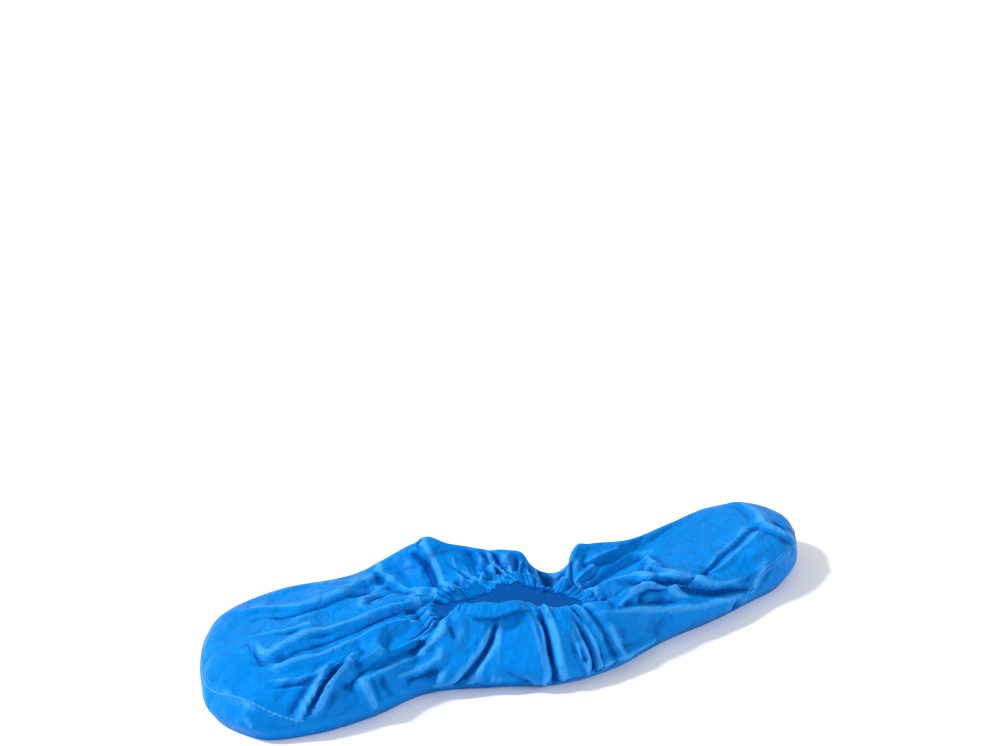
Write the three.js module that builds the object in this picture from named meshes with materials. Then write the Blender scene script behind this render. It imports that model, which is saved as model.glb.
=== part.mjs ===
import * as THREE from "three";

// A disposable overshoe of coated nonwoven cloth, empty, slumped on its sole with its mouth up.
// All sizes are in millimetres. In the tables below +X runs from the toe end to the heel end, -Y is
// the near side and +Z is up, and the floor is at zero.

// Cloth
const CLOTH = 1.2; // wall thickness of the pouch
const LOWEST_STEP = 1.2; // height that each row of the wall stays above the row below it, at least
const MIDDLE = { x: 8.2, y: -1.9 }; // middle of the finished cover's box, which becomes the origin

// The wall rises from the edge of the sole out to a bulge, over a crest and in to the mouth.
const SOLE_INSET = 5; // from the bulge in to the edge of the sole
const BULGE_HEIGHT = 10;
const LEVEL = { sole: 0, bulge: 0.14, crest: 0.36, middle: 0.68, mouth: 1 };

// The mouth is a slanting ellipse, drawn in by the elastic.
const MOUTH = { x: -19, y: -24, halfLength: 45, halfWidth: 17, turn: -13 };
const MOUTH_HEIGHT = { mean: 35.8, toeEndRise: 5.5, nearSideRise: 3, cornerDip: 3.2 };
const MOUTH_SHARE = 2; // weight of the mouth's girth against the outline's in spacing the columns

// How the mouth's edge waves about that ellipse, from its toe end along the near side.
// degrees: where round the mouth. rise: up from the ellipse. out: outwards from it.
const MOUTH_WAVES = [
  { degrees: 0, rise: 0, out: 0 },
  { degrees: 20, rise: -5, out: 2 },
  { degrees: 38, rise: -8, out: 4 },
  { degrees: 52, rise: -7, out: 4 },
  { degrees: 64, rise: -3, out: 4 },
  { degrees: 78, rise: -4, out: 4 },
  { degrees: 94, rise: -6, out: 3 },
  { degrees: 108, rise: -9, out: 4 },
  { degrees: 122, rise: -11, out: 5 },
  { degrees: 138, rise: -11, out: 5 },
  { degrees: 152, rise: -7, out: 3 },
  { degrees: 166, rise: -3, out: 1 },
  { degrees: 180, rise: 0, out: 0 },
  { degrees: 205, rise: -1, out: 0 },
  { degrees: 225, rise: -2, out: 1 },
  { degrees: 248, rise: 0, out: 1 },
  { degrees: 264, rise: 0, out: 0 },
  { degrees: 282, rise: -4, out: -2 },
  { degrees: 300, rise: -7, out: -3 },
  { degrees: 320, rise: -6, out: -2 },
  { degrees: 340, rise: -2, out: 0 },
  { degrees: 360, rise: 0, out: 0 },
];

// Stations round the cover, from the toe tip along the near side to the heel and back.
// x, y: the bulge, seen from above. inset: from the bulge in to the crest. crest: its height.
// crown: how far the cloth between crest and mouth swells over a straight line. mouth: where round
// the mouth that cloth is gathered to, in degrees from its toe end.
const STATIONS = [
  { at: "toe tip", x: -190, y: 4, inset: 9, crest: 24, crown: 2, mouth: -2 },
  { at: "near toe corner", x: -194, y: -20, inset: 10, crest: 24, crown: 2, mouth: 2 },
  { at: "near toe end", x: -189, y: -37, inset: 11, crest: 24, crown: 2, mouth: 6 },
  { at: "near toe curve", x: -175, y: -55, inset: 11, crest: 24, crown: 2, mouth: 10 },
  { at: "near toe side", x: -148, y: -62, inset: 12, crest: 24, crown: 2, mouth: 18 },
  { at: "near toe waist", x: -116, y: -60, inset: 12, crest: 27, crown: 1, mouth: 33 },
  { at: "near instep", x: -80, y: -51, inset: 11, crest: 29, crown: 2, mouth: 52 },
  { at: "near mouth, toe side", x: -46, y: -61, inset: 15, crest: 32, crown: 3, mouth: 74 },
  { at: "near mouth", x: -10, y: -75, inset: 16, crest: 32, crown: 3, mouth: 101 },
  { at: "near mouth, heel side", x: 28, y: -73, inset: 18, crest: 31, crown: 2, mouth: 125 },
  { at: "near heel waist", x: 70, y: -59, inset: 16, crest: 31, crown: -1, mouth: 142 },
  { at: "near heel side", x: 112, y: -50, inset: 12, crest: 26, crown: -2, mouth: 153 },
  { at: "near heel dip", x: 142, y: -41, inset: 10, crest: 22, crown: 1, mouth: 161 },
  { at: "near heel curve", x: 170, y: -32, inset: 10, crest: 25, crown: 2, mouth: 167 },
  { at: "near heel corner", x: 196, y: -12, inset: 10, crest: 27, crown: 2, mouth: 174 },
  { at: "heel tip", x: 210, y: 16, inset: 10, crest: 28, crown: 2, mouth: 181 },
  { at: "far heel corner", x: 200, y: 44, inset: 10, crest: 29, crown: 2, mouth: 188 },
  { at: "far heel curve", x: 170, y: 52, inset: 10, crest: 29, crown: 2, mouth: 196 },
  { at: "far heel side", x: 130, y: 40, inset: 12, crest: 31, crown: 2, mouth: 205 },
  { at: "far heel waist", x: 94, y: 32, inset: 18, crest: 33, crown: 0, mouth: 215 },
  { at: "far ankle, heel side", x: 64, y: 32, inset: 20, crest: 36, crown: 0, mouth: 224 },
  { at: "far notch", x: 38, y: 31, inset: 27, crest: 28, crown: -2, mouth: 234 },
  { at: "far dome, heel side", x: 22, y: 42, inset: 32, crest: 41, crown: 0, mouth: 242 },
  { at: "far dome", x: 2, y: 52, inset: 32, crest: 42, crown: 0, mouth: 254 },
  { at: "far saddle", x: -20, y: 62, inset: 26, crest: 43, crown: 0, mouth: 267 },
  { at: "far peak", x: -44, y: 69, inset: 22, crest: 45, crown: 0, mouth: 282 },
  { at: "far instep", x: -82, y: 67, inset: 10, crest: 28, crown: 2, mouth: 304 },
  { at: "far toe side", x: -128, y: 72, inset: 9, crest: 25, crown: 2, mouth: 324 },
  { at: "far toe curve", x: -165, y: 58, inset: 9, crest: 24, crown: 2, mouth: 338 },
  { at: "far toe corner", x: -183, y: 28, inset: 9, crest: 24, crown: 2, mouth: 349 },
];

// Main folds, each drawn over the cloth through a few places [x, y, z].
// rise: height of the ridge, or depth of a valley where it is negative. reach: half its width.
const FOLDS = [
  { name: "long toe ridge", rise: 5, reach: 12, path: [[-62, -7, 37], [-90, 6, 35], [-157, -4, 28]] },
  { name: "far toe valley", rise: -5, reach: 13, path: [[-85, 12, 35], [-112, 21, 33], [-151, 39, 27]] },
  { name: "far toe ridge", rise: 4, reach: 13, path: [[-63, 27, 34], [-99, 36, 32], [-136, 50, 28]] },
  { name: "mid toe valley", rise: -4, reach: 11, path: [[-70, -19, 37], [-105, -15, 34], [-150, -16, 28]] },
  { name: "near toe ridge", rise: 5, reach: 12, path: [[-78, -32, 38], [-120, -34, 33], [-154, -30, 29]] },
  { name: "near toe valley", rise: -6, reach: 12, path: [[-66, -36, 30], [-93, -42, 28], [-128, -50, 28]] },
  { name: "near toe crease", rise: -3, reach: 9, path: [[-128, -42, 32], [-152, -61, 17]] },
  { name: "peak ridge", rise: 4, reach: 12, path: [[-42, -2, 38], [-41, 24, 40], [-45, 48, 45]] },
  { name: "far instep ridge", rise: 4, reach: 10, path: [[-59, 14, 36], [-64, 36, 34], [-68, 52, 33]] },
  { name: "far instep valley", rise: -4, reach: 10, path: [[-68, 8, 36], [-75, 38, 32], [-80, 52, 30]] },
  { name: "far pocket", rise: -6, reach: 10, path: [[-24, -2, 37], [-18, 12, 41], [-16, 22, 46]] },
  { name: "dome ridge", rise: 4, reach: 13, path: [[-14, -4, 37], [-3, 6, 39], [2, 20, 44]] },
  { name: "notch valley", rise: -3, reach: 9, path: [[17, -17, 31], [25, 0, 32], [36, 14, 29]] },
  { name: "far ankle ridge", rise: 4, reach: 11, path: [[28, -24, 28], [54, -3, 31], [71, 8, 33]] },
  { name: "far ankle valley", rise: -6, reach: 10, path: [[34, -34, 28], [66, -13, 29], [92, -2, 29]] },
  { name: "heel top ridge", rise: 4, reach: 10, path: [[28, -49, 34], [64, -32, 30], [117, -41, 22]] },
  { name: "heel groove", rise: -5, reach: 9, path: [[22, -57, 35], [97, -47, 23], [138, -40, 16]] },
  { name: "near heel ridge", rise: 4, reach: 10, path: [[21, -60, 31], [94, -52, 16], [137, -43, 11]] },
  { name: "heel crease", rise: -2.5, reach: 9, path: [[107, -35, 27], [138, -18, 30], [178, 4, 30]] },
  { name: "heel edge", rise: 2.5, reach: 9, path: [[172, 40, 30], [185, 10, 30], [193, -14, 20]] },
  { name: "near mouth ridge", rise: 4, reach: 9, path: [[-49, -36, 39], [-51, -47, 26], [-74, -52, 10]] },
  { name: "near mouth groove", rise: -6, reach: 9, path: [[-37, -42, 38], [-44, -51, 26], [-57, -54, 15]] },
  { name: "near mouth facet", rise: 3, reach: 13, path: [[-24, -52, 38], [-27, -63, 22], [-29, -67, 6]] },
  { name: "near mouth valley", rise: -6, reach: 9, path: [[-11, -54, 39], [-11, -65, 25], [-12, -71, 4]] },
  { name: "near mouth cleft", rise: -6, reach: 9, path: [[6, -56, 38], [9, -69, 21], [11, -76, 8]] },
];
const FOLD_SHARPNESS = 1.4; // 1 is a straight-sided ridge, 2 a pointed one with hollow sides
const FOLD_DEPTH_LIMIT = 14; // a fold shapes only the cloth that lies within this of its line
const FOLD_END = 0.18; // share of its length over which a fold dies away at each end
const FOLD_START = -0.05; // just short of its end, so that some of its height is left there
const FOLD_FULL = 22; // from the mouth's edge to where folds reach their full height

// Gathers that fan out from the hem
const PLEATS = 24;
const PLEAT_DEPTH = 1.5;
const PLEAT_FULL = 14; // from the mouth's edge to where they are deepest
const PLEAT_END = 52;

// Facets of the pouch
const COLUMNS = 120;
const ROWS = [0, 0.07, 0.15, 0.25, 0.36, 0.47, 0.59, 0.7, 0.8, 0.9, 1];
const EDGE_STRIP = 6; // smooth strip along the mouth, which the hem clasps

// Hem: a folded casing that clasps the mouth's edge and holds the elastic in its bight
const HEM = { gap: 0.4, cloth: 1, lip: 4, bight: 2.4 };
const HEM_COLUMNS = 160;
const HEM_GATHERS = 40;
const HEM_GATHER_DEPTH = 0.6;

// Elastic
const ELASTIC = { radius: 0.6, lift: 1.4 };
const ELASTIC_COLUMNS = 80;
const ELASTIC_SIDES = 6;

// Seams that close the two ends. round: percentage of the way round the cover from the toe tip,
// up: percentage of the way from the sole to the mouth.
const TOE_SEAM = [
  { round: -7, up: 14 },
  { round: -2.5, up: 24 },
  { round: 1.5, up: 26 },
  { round: 4.5, up: 29 },
  { round: 7, up: 16 },
];
const HEEL_SEAM = [
  { round: 42.5, up: 14 },
  { round: 44.5, up: 24 },
  { round: 47.5, up: 27 },
  { round: 51, up: 24 },
  { round: 55, up: 14 },
];
const SEAM = { gap: 0.4, height: 0.7, halfWidth: 0.8, topHalfWidth: 0.5 };
const SEAM_STEPS_A_COLUMN = 3;

const FLOOR_TURN = new THREE.Vector3(0, 0, 1);

// A smooth curve through rows of numbers, each at its own knot.
function curveThrough(knots, rows) {
  return new THREE.CubicInterpolant(knots, rows.flat(), rows[0].length);
}

const mouthWaves = curveThrough(
  MOUTH_WAVES.map((wave) => wave.degrees),
  MOUTH_WAVES.map((wave) => [wave.rise, wave.out]),
);

function mouthPoint(degrees) {
  const { mean, toeEndRise, nearSideRise, cornerDip } = MOUTH_HEIGHT;
  const [rise, out] = mouthWaves.evaluate(THREE.MathUtils.euclideanModulo(degrees, 360));
  const angle = THREE.MathUtils.degToRad(degrees);
  const slant = toeEndRise * Math.cos(angle) + nearSideRise * Math.sin(angle);
  const point = new THREE.Vector3(
    -(MOUTH.halfLength + out) * Math.cos(angle),
    -(MOUTH.halfWidth + out) * Math.sin(angle),
    mean + slant - cornerDip * Math.cos(2 * angle) + rise,
  );
  point.applyAxisAngle(FLOOR_TURN, THREE.MathUtils.degToRad(MOUTH.turn));
  return point.add(new THREE.Vector3(MOUTH.x, MOUTH.y, 0));
}

// The stations repeated past both ends, so that a curve through them closes smoothly. Their knots
// count both the outline and the mouth's edge that they span, as shares of one lap.
function closedStationCurve() {
  const count = STATIONS.length;
  const knots = [0];
  STATIONS.forEach((station, i) => {
    const next = STATIONS[(i + 1) % count];
    const outline = Math.hypot(next.x - station.x, next.y - station.y);
    const mouth = mouthPoint(next.mouth).distanceTo(mouthPoint(station.mouth));
    knots.push(knots[i] + outline + MOUTH_SHARE * mouth);
  });
  const lapLength = knots[count];
  const places = [];
  const rows = [];
  for (let i = -2; i <= count + 2; i += 1) {
    const lap = Math.floor(i / count);
    const station = STATIONS[i - lap * count];
    places.push(lap + knots[i - lap * count] / lapLength);
    const { x, y, inset, crest, crown, mouth } = station;
    rows.push([x, y, inset, crest, crown, mouth + 360 * lap]);
  }
  return curveThrough(places, rows);
}

const stationCurve = closedStationCurve();

function stationAt(round) {
  const [x, y, inset, crest, crown, mouth] = stationCurve.evaluate(round);
  return { x, y, inset, crest, crown, mouth };
}

// The way round the outline at which the bulge runs, as a unit vector.
function outlineHeading(round) {
  const step = 0.5 / COLUMNS;
  const before = stationAt(round - step);
  const after = stationAt(round + step);
  return new THREE.Vector3(after.x - before.x, after.y - before.y, 0).normalize();
}

// The five places that a column of the wall passes, from the sole up to the mouth.
function wallColumn(round) {
  const station = stationAt(round);
  const bulge = new THREE.Vector3(station.x, station.y, BULGE_HEIGHT);
  const mouth = mouthPoint(station.mouth);
  const inward = new THREE.Vector3().crossVectors(FLOOR_TURN, outlineHeading(round));
  const towardsMouth = new THREE.Vector3().subVectors(mouth, bulge).setZ(0).normalize();
  const sole = bulge.clone().addScaledVector(inward, SOLE_INSET).setZ(0);
  const lean = inward.clone().add(towardsMouth).normalize();
  const crest = bulge.clone().addScaledVector(lean, station.inset).setZ(station.crest);
  const middle = crest.clone().lerp(mouth, 0.5);
  middle.z += station.crown;
  const places = [sole, bulge, crest, middle, mouth];
  return {
    curve: curveThrough(Object.values(LEVEL), places.map((p) => p.toArray())),
    stretch: middle.distanceTo(mouth) / (LEVEL.mouth - LEVEL.middle),
  };
}

function smoothRise(value, start, end) {
  return THREE.MathUtils.smoothstep(value, start, end);
}

// How far the pleats lift the cloth, at a distance from the mouth's edge.
function pleatLift(round, distance) {
  const start = smoothRise(distance, EDGE_STRIP, PLEAT_FULL);
  const fade = start * (1 - smoothRise(distance, PLEAT_FULL, PLEAT_END));
  return PLEAT_DEPTH * fade * Math.cos(2 * Math.PI * PLEATS * round);
}

// How far one fold lifts the cloth at a place. Its line is seen flat on the cloth there.
function foldLift(fold, place, normal) {
  const flat = new THREE.Plane(normal, 0);
  const line = fold.path.map((p) => new THREE.Vector3(...p).sub(place));
  const lengths = line.slice(1).map((p, i) => p.distanceTo(line[i]));
  const total = lengths.reduce((sum, length) => sum + length, 0);
  let nearest = { distance: Infinity, along: 0 };
  let passed = 0;
  lengths.forEach((length, i) => {
    const from = flat.projectPoint(line[i], new THREE.Vector3());
    const to = flat.projectPoint(line[i + 1], new THREE.Vector3());
    const stretch = new THREE.Line3(from, to);
    const share = stretch.closestPointToPointParameter(new THREE.Vector3(), true);
    const distance = stretch.at(share, new THREE.Vector3()).length();
    const depth = Math.abs(line[i].clone().lerp(line[i + 1], share).dot(normal));
    if (distance < nearest.distance && depth < FOLD_DEPTH_LIMIT) {
      nearest = { distance, along: (passed + share * length) / total };
    }
    passed += length;
  });
  if (nearest.distance >= fold.reach) return 0;
  const ends = smoothRise(Math.min(nearest.along, 1 - nearest.along), FOLD_START, FOLD_END);
  return fold.rise * ends * (1 - nearest.distance / fold.reach) ** FOLD_SHARPNESS;
}

// A grid is an array of rows from the sole up, and each row closes on itself.
function gridNormals(grid) {
  const top = grid.length - 1;
  return grid.map((row, j) =>
    row.map((_, i) => {
      const next = row[(i + 1) % row.length];
      const previous = row[(i + row.length - 1) % row.length];
      const along = new THREE.Vector3().subVectors(next, previous);
      const above = grid[Math.min(j + 1, top)][i];
      const below = grid[Math.max(j - 1, 0)][i];
      return along.cross(new THREE.Vector3().subVectors(above, below)).normalize();
    }),
  );
}

// The smooth wall without folds, and each place's distance from the mouth.
function plainWall() {
  const columns = Array.from({ length: COLUMNS }, (_, i) => wallColumn(i / COLUMNS));
  const shares = columns.map(({ stretch }) => 1 - EDGE_STRIP / stretch);
  const levels = [...ROWS.map((row) => shares.map((share) => row * share)), shares.map(() => 1)];
  return {
    places: levels.map((row) => row.map((up, i) => new THREE.Vector3(...columns[i].curve.evaluate(up)))),
    distances: levels.map((row) => row.map((up, i) => (1 - up) * columns[i].stretch)),
  };
}

// The wall's outer face, with its folds and pleats. The sole's edge and the strip that the hem
// clasps stay smooth.
function foldedWall() {
  const { places, distances } = plainWall();
  const normals = gridNormals(places);
  return places.map((row, j) =>
    row.map((place, i) => {
      if (j === 0) return place.clone();
      const distance = distances[j][i];
      const held = smoothRise(distance, EDGE_STRIP, FOLD_FULL);
      const folds = FOLDS.reduce((sum, fold) => sum + foldLift(fold, place, normals[j][i]), 0);
      const lifted = place
        .clone()
        .addScaledVector(normals[j][i], held * folds + pleatLift(i / COLUMNS, distance));
      lifted.z = Math.max(lifted.z, j * LOWEST_STEP);
      return lifted;
    }),
  );
}

// The wall's inner face, one cloth inwards. Its rows, too, stay above one another near the sole.
function innerFace(outer) {
  const normals = gridNormals(outer);
  return outer.map((row, j) =>
    row.map((place, i) => {
      const point = place.clone().addScaledVector(normals[j][i], -CLOTH);
      point.z = j === 0 ? CLOTH : Math.max(point.z, CLOTH + (j * LOWEST_STEP) / 2);
      return point;
    }),
  );
}

function geometryOf(points, triangles) {
  const geometry = new THREE.BufferGeometry().setFromPoints(points);
  geometry.setIndex(triangles.flat());
  geometry.computeVertexNormals();
  return geometry;
}

// Two triangles for each cell between two closed rings of vertex numbers.
function ringBand(lower, upper) {
  return lower.flatMap((a, i) => {
    const k = (i + 1) % lower.length;
    return [
      [a, lower[k], upper[k]],
      [a, upper[k], upper[i]],
    ];
  });
}

function ringOf(start, count) {
  return Array.from({ length: count }, (_, i) => start + i);
}

// A wall of cloth between two grids, closed round the mouth, with a flat sole.
function pouchGeometry(outer, inner) {
  const count = outer[0].length;
  const outerRings = outer.map((_, j) => ringOf(j * count, count));
  const innerRings = inner.map((_, j) => ringOf((outer.length + j) * count, count));
  const triangles = [];
  for (let j = 1; j < outer.length; j += 1) {
    triangles.push(...ringBand(outerRings[j - 1], outerRings[j]));
    triangles.push(...ringBand(innerRings[j], innerRings[j - 1]));
  }
  triangles.push(...ringBand(outerRings.at(-1), innerRings.at(-1)));
  const soleCuts = (row) => {
    const edge = row.map((p) => new THREE.Vector2(p.x, p.y));
    return THREE.ShapeUtils.triangulateShape(edge, []);
  };
  soleCuts(outer[0]).forEach(([a, b, c]) => triangles.push([a, c, b]));
  soleCuts(inner[0]).forEach((cut) => triangles.push(cut.map((i) => innerRings[0][i])));
  return geometryOf([...outer.flat(), ...inner.flat()], triangles);
}

// Evenly spaced spots along a closed ring of points, each as a point's number and a share beyond it.
function evenSpots(ring, count) {
  const lengths = ring.map((point, i) => point.distanceTo(ring[(i + 1) % ring.length]));
  const step = lengths.reduce((sum, length) => sum + length, 0) / count;
  const spots = [];
  let passed = 0;
  lengths.forEach((length, i) => {
    while (spots.length < count && spots.length * step < passed + length) {
      spots.push(i + (spots.length * step - passed) / length);
    }
    passed += length;
  });
  return spots;
}

// Frames along the mouth's edge: the middle of the cloth there, the way out and the way up the wall.
function mouthFrames(outer, inner, count) {
  const middleOf = (row) => outer.at(row).map((p, i) => p.clone().lerp(inner.at(row)[i], 0.5));
  const edge = middleOf(-1);
  const strip = middleOf(-2);
  const between = (ring, spot) => {
    const i = Math.floor(spot) % ring.length;
    return ring[i].clone().lerp(ring[(i + 1) % ring.length], spot - Math.floor(spot));
  };
  const spots = evenSpots(edge, count);
  const origins = spots.map((spot) => between(edge, spot));
  return origins.map((origin, k) => {
    const up = origin.clone().sub(between(strip, spots[k])).normalize();
    const along = origins[(k + 1) % count].clone().sub(origins.at(k - 1));
    const out = along.cross(up).normalize();
    return { origin, out, up };
  });
}

function placeIn(frame, [out, up]) {
  return frame.origin.clone().addScaledVector(frame.out, out).addScaledVector(frame.up, up);
}

// A closed ring whose section, one outline of [out, up] places, changes from frame to frame.
function sweptRing(frames, sectionAt) {
  const sections = frames.map((frame, k) => sectionAt(k).map((spot) => placeIn(frame, spot)));
  const sides = sections[0].length;
  const rings = sections.map((_, k) => ringOf(k * sides, sides));
  const triangles = rings.flatMap((ring, k) => ringBand(ring, rings[(k + 1) % rings.length]));
  return geometryOf(sections.flat(), triangles);
}

// The casing's section, open below, where it clasps the cloth. Its outside swells at each gather.
function hemSection(k) {
  const inside = CLOTH / 2 + HEM.gap;
  const swell = HEM_GATHER_DEPTH * Math.cos((2 * Math.PI * HEM_GATHERS * k) / HEM_COLUMNS);
  const outside = inside + HEM.cloth + swell;
  const top = HEM.bight + HEM.cloth + swell;
  return [
    [inside, -HEM.lip],
    [inside, HEM.bight],
    [-inside, HEM.bight],
    [-inside, -HEM.lip],
    [-outside, -HEM.lip],
    [-outside, HEM.bight - HEM.cloth],
    [-outside / 2, top],
    [outside / 2, top],
    [outside, HEM.bight - HEM.cloth],
    [outside, -HEM.lip],
  ];
}

function elasticSection() {
  return Array.from({ length: ELASTIC_SIDES }, (_, side) => {
    const angle = (-2 * Math.PI * side) / ELASTIC_SIDES;
    return [ELASTIC.radius * Math.cos(angle), ELASTIC.lift + ELASTIC.radius * Math.sin(angle)];
  });
}

// A place on the facets of a grid, between column and row lines.
function onFacets(grid, column, row) {
  const i = Math.floor(column);
  const j = Math.min(Math.floor(row), grid.length - 2);
  const across = column - i;
  const upward = row - j;
  const count = grid[0].length;
  const corner = (dj, di) => grid[j + dj][(((i + di) % count) + count) % count];
  const far = corner(1, 1);
  const turn = upward < across ? corner(0, 1) : corner(1, 0);
  const [first, second] = upward < across ? [across, upward] : [upward, across];
  return corner(0, 0).clone().lerp(turn, first).addScaledVector(far.clone().sub(turn), second);
}

// A narrow raised strip that follows the cloth along a seam.
function seamGeometry(outer, seam) {
  const normals = gridNormals(outer);
  const heights = curveThrough(seam.map((s) => s.round / 100), seam.map((s) => [s.up / 100]));
  const first = Math.ceil((seam[0].round / 100) * COLUMNS);
  const last = Math.floor((seam.at(-1).round / 100) * COLUMNS);
  const steps = (last - first) * SEAM_STEPS_A_COLUMN;
  const spots = Array.from({ length: steps + 1 }, (_, k) => {
    const column = first + k / SEAM_STEPS_A_COLUMN;
    const up = heights.evaluate(column / COLUMNS)[0];
    const above = ROWS.findIndex((level) => level > up);
    const row = above - 1 + (up - ROWS[above - 1]) / (ROWS[above] - ROWS[above - 1]);
    return { place: onFacets(outer, column, row), normal: onFacets(normals, column, row).normalize() };
  });
  const sections = spots.map(({ place, normal }, k) => {
    const before = spots[Math.max(k - 1, 0)].place;
    const after = spots[Math.min(k + 1, steps)].place;
    const up = normal.clone().cross(after.clone().sub(before)).normalize();
    const top = SEAM.gap + SEAM.height;
    return [
      [SEAM.gap, SEAM.halfWidth],
      [top, SEAM.topHalfWidth],
      [top, -SEAM.topHalfWidth],
      [SEAM.gap, -SEAM.halfWidth],
    ].map((spot) => placeIn({ origin: place, out: normal, up }, spot));
  });
  const corners = sections[0].length;
  const rings = sections.map((_, k) => ringOf(k * corners, corners));
  const triangles = rings.slice(1).flatMap((ring, k) => ringBand(rings[k], ring));
  const end = rings.at(-1);
  triangles.push([0, 2, 1], [0, 3, 2], [end[0], end[1], end[2]], [end[0], end[2], end[3]]);
  return geometryOf(sections.flat(), triangles);
}

function piece(name, geometry, finish) {
  const mesh = new THREE.Mesh(geometry, new THREE.MeshStandardMaterial({ metalness: 0, ...finish }));
  mesh.name = name;
  return mesh;
}

const outerFace = foldedWall();
const lining = innerFace(outerFace);
const clothFinish = { color: 0x1c7fd8, roughness: 0.42 };

const cover = new THREE.Group();
cover.add(
  piece("pouch", pouchGeometry(outerFace, lining), clothFinish),
  piece("hem_casing", sweptRing(mouthFrames(outerFace, lining, HEM_COLUMNS), hemSection), clothFinish),
  piece("elastic_band", sweptRing(mouthFrames(outerFace, lining, ELASTIC_COLUMNS), elasticSection), {
    color: 0xcfd8e0,
    roughness: 0.7,
  }),
  piece("toe_seam", seamGeometry(outerFace, TOE_SEAM), { color: 0x5aa6ea, roughness: 0.5 }),
  piece("heel_seam", seamGeometry(outerFace, HEEL_SEAM), { color: 0x5aa6ea, roughness: 0.5 }),
);
cover.position.set(-MIDDLE.x, -MIDDLE.y, 0);

export default cover;
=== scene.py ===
import math

import bpy
import numpy as np
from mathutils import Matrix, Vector


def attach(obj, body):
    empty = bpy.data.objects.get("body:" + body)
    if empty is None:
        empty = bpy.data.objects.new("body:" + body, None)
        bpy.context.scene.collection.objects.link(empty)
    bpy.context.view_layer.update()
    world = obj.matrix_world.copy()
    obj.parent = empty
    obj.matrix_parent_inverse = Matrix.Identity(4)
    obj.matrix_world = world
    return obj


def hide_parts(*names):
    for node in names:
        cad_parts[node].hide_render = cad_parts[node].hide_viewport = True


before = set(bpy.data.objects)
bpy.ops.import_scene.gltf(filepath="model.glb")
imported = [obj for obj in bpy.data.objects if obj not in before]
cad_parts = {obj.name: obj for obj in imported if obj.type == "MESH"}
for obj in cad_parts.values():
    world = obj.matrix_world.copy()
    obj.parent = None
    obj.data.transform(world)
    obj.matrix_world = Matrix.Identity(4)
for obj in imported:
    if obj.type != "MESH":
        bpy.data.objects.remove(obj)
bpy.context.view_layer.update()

# Camera
# It stands in front of the toe half and looks down along the cover, which lies on its sole with
# the toe end to the left and the heel end away to the right.
bpy.ops.object.select_all(action="DESELECT")
bpy.ops.object.camera_add(
    location=(-0.3823, -0.7052, 0.4145),
    rotation=(math.radians(72.233), 0.0, math.radians(-27.146)),
)
camera = bpy.context.object
camera.data.sensor_width = 36.0
camera.data.lens = 54.0
camera.data.clip_end = 50.0
bpy.context.scene.camera = camera
bpy.context.scene.view_settings.view_transform = "Standard"

# Floor and light
# A plain white studio floor that runs off to the horizon, under a white sky, with one soft light
# from behind the toe end and a weaker one from the front.
FLOOR_SIZE = 30.0
FLOOR_DROP = 0.0004  # how far under the sole the floor lies, so that the two never touch
FLOOR_WHITE = (0.93, 0.93, 0.93, 1.0)
SKY_STRENGTH = 0.55

bpy.ops.mesh.primitive_plane_add(size=FLOOR_SIZE, location=(0.0, 0.0, -FLOOR_DROP))
floor = bpy.context.object
floor.name = "studio_floor"
floor_paint = bpy.data.materials.new("studio_white")
floor_paint.use_nodes = True
floor_shader = floor_paint.node_tree.nodes["Principled BSDF"]
floor_shader.inputs["Base Color"].default_value = FLOOR_WHITE
floor_shader.inputs["Roughness"].default_value = 0.9
floor.data.materials.append(floor_paint)

sky = bpy.data.worlds.new("studio_sky")
sky.use_nodes = True
sky.node_tree.nodes["Background"].inputs["Color"].default_value = (1.0, 1.0, 1.0, 1.0)
sky.node_tree.nodes["Background"].inputs["Strength"].default_value = SKY_STRENGTH
bpy.context.scene.world = sky


def add_sun(name, place, strength, softness):
    """A distant light that shines from the side of a place towards the cover. Softness: degrees."""
    bpy.ops.object.light_add(type="SUN", location=place)
    lamp = bpy.context.object
    lamp.name = name
    lamp.data.energy = strength
    lamp.data.angle = math.radians(softness)
    lamp.rotation_euler = (-Vector(place)).to_track_quat("-Z", "Y").to_euler()


add_sun("key_light", (-0.9, 0.4, 0.85), strength=4.6, softness=10.0)
add_sun("front_light", (0.5, -1.4, 0.8), strength=1.35, softness=40.0)

# Pouch
# The body of a disposable overshoe: one sheet of blue spunbond cloth with a plastic coat, folded
# round a flat sole, closed at both ends and gathered in at the mouth. Empty, it slumps on its
# sole, and its slack wall falls into long folds that run out from the mouth.
MM = 0.001
MIDDLE = np.array([8.2, -1.9, 0.0])  # middle of the cover's box, in the tables' millimetres
CLOTH = 0.35  # thickness of the cloth
SOLE_INSET = 5.0  # from the bulge in to the edge of the sole
BULGE_HEIGHT = 10.0
LEVELS = np.array([0.0, 0.14, 0.36, 0.68, 1.0])  # sole, bulge, crest, middle, mouth
MOUTH_CENTRE = (-19.0, -24.0)
MOUTH_HALF = (45.0, 17.0)  # half its length and half its width
MOUTH_TURN = math.radians(-13.0)
MOUTH_HEIGHT = 35.8  # on average: the mouth slants up to its toe end and to the near side
TOE_END_RISE = 5.5
NEAR_SIDE_RISE = 3.0
CORNER_DIP = 3.2  # how much lower both ends of the mouth lie than its slant says
MOUTH_SHARE = 2.0  # weight of the mouth's girth against the outline's in spacing the stations
# How the mouth's edge waves about its ellipse, from its toe end along the near side, in
# millimetres: it dips on either side of the middle of the near side, where it stands up.
MOUTH_WAVES = [
    # degrees, rise, out
    (0, 0, 0), (20, -5, 2), (38, -8, 4), (52, -7, 4), (64, -3, 4), (78, -4, 4), (94, -6, 3),
    (108, -9, 4), (122, -11, 5), (138, -11, 5), (152, -7, 3), (166, -3, 1), (180, 0, 0),
    (205, -1, 0), (225, -2, 1), (248, 0, 1), (264, 0, 0), (282, -4, -2), (300, -7, -3),
    (320, -6, -2), (340, -2, 0), (360, 0, 0),
]

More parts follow.
